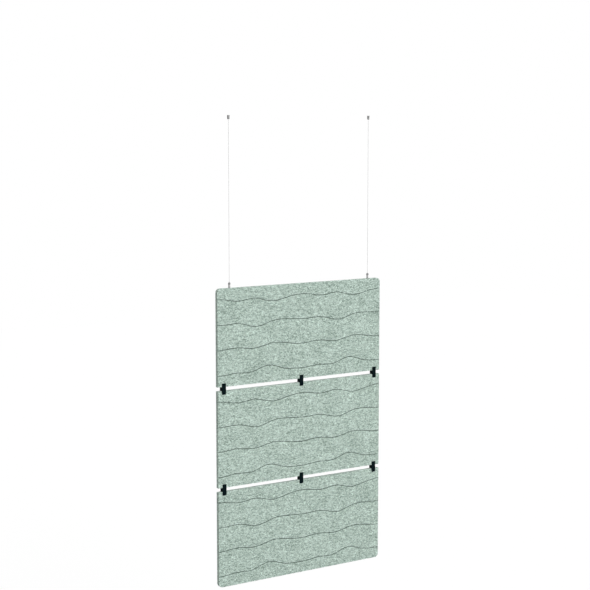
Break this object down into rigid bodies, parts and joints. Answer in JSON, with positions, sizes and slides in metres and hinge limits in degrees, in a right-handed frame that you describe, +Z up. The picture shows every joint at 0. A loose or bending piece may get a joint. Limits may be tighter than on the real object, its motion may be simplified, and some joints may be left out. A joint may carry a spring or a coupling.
{
  "type": "hanging acoustic panel",
  "caption": "Hanging felt room divider: wavy-grooved panels joined by black H-shaped connectors, hung on two steel wires with ceiling fittings and cable grippers.",
  "frame": {"origin": "at the ceiling, midway between the tops of the two ceiling fittings, in the middle of the felt's thickness", "axes": "+Z up; X along the panels' width, +X to the right seen from the grooved face; the grooved front face looks along -Y"},
  "size_m": [1.2, 0.028, 2.885],
  "materials": {
    "felt": "matte",
    "black_plastic": "satin",
    "black_screw": "satin",
    "fitting_steel": "satin",
    "wire_rope": "satin",
    "hard_steel": "polished",
    "insert_brass": "satin"
  },
  "bodies": {
    "ceiling": {"ceiling_base_left": "fitting_steel", "ceiling_cap_left": "fitting_steel", "ceiling_base_right": "fitting_steel", "ceiling_cap_right": "fitting_steel"},
    "wire_tops": {"wire_ball_left": "hard_steel", "wire_ball_right": "hard_steel"},
    "wire_left": {"wire_left": "wire_rope"},
    "wire_right": {"wire_right": "wire_rope"},
    "wire_bends": {"wire_bends": "wire_rope"},
    "screen": {"panel_top": "felt", "panel_middle": "felt", "panel_bottom": "felt", "gripper_body_left": "fitting_steel", "gripper_cap_left": "fitting_steel", "gripper_stud_left": "fitting_steel", "gripper_spring_left": "hard_steel", "panel_insert_left": "insert_brass", "wire_tail_left": "wire_rope", "gripper_body_right": "fitting_steel", "gripper_cap_right": "fitting_steel", "gripper_stud_right": "fitting_steel", "gripper_spring_right": "hard_steel", "panel_insert_right": "insert_brass", "wire_tail_right": "wire_rope", "connector_front_upper_left": "black_plastic", "connector_back_upper_left": "black_plastic", "connector_screws_upper_left": "black_screw", "connector_front_upper_middle": "black_plastic", "connector_back_upper_middle": "black_plastic", "connector_screws_upper_middle": "black_screw", "connector_front_upper_right": "black_plastic", "connector_back_upper_right": "black_plastic", "connector_screws_upper_right": "black_screw", "connector_front_lower_left": "black_plastic", "connector_back_lower_left": "black_plastic", "connector_screws_lower_left": "black_screw", "connector_front_lower_middle": "black_plastic", "connector_back_lower_middle": "black_plastic", "connector_screws_lower_middle": "black_screw", "connector_front_lower_right": "black_plastic", "connector_back_lower_right": "black_plastic", "connector_screws_lower_right": "black_screw"},
    "release_left": {"gripper_plunger_left": "fitting_steel", "gripper_balls_left": "hard_steel"},
    "release_right": {"gripper_plunger_right": "fitting_steel", "gripper_balls_right": "hard_steel"}
  },
  "joints": [
    {"name": "swing", "type": "hinge", "parent": "ceiling", "child": "wire_tops", "pos_m": [0, 0, -0.0186], "axis": [1, 0, 0], "range_deg": [-10, 10]},
    {"name": "lean_left", "type": "hinge", "parent": "wire_tops", "child": "wire_left", "pos_m": [-0.51, 0, -0.0186], "axis": [0, 1, 0], "range_deg": [-5.5, 5.5]},
    {"name": "lean_right", "type": "hinge", "parent": "wire_tops", "child": "wire_right", "pos_m": [0.51, 0, -0.0186], "axis": [0, 1, 0], "range_deg": [-5.5, 5.5]},
    {"name": "sway", "type": "hinge", "parent": "wire_left", "child": "wire_bends", "pos_m": [-0.51, 0, -0.997], "axis": [0, 1, 0], "range_deg": [-5, 5]},
    {"name": "tilt", "type": "hinge", "parent": "wire_bends", "child": "screen", "pos_m": [0, 0, -0.997], "axis": [1, 0, 0], "range_deg": [-15, 15]},
    {"name": "release_nose_left", "type": "slide", "parent": "screen", "child": "release_left", "axis": [0, 0, 1], "range_m": [-0.003, 0], "stiffness_N_per_m": 300, "springref_m": 0.004, "deforming": ["gripper_spring_left"]},
    {"name": "release_nose_right", "type": "slide", "parent": "screen", "child": "release_right", "axis": [0, 0, 1], "range_m": [-0.003, 0], "stiffness_N_per_m": 300, "springref_m": 0.004, "deforming": ["gripper_spring_right"]}
  ],
  "couplings": [
    {"joint": "lean_left", "follows": "sway", "ratio": -1},
    {"joint": "lean_right", "follows": "sway", "ratio": -1}
  ]
}
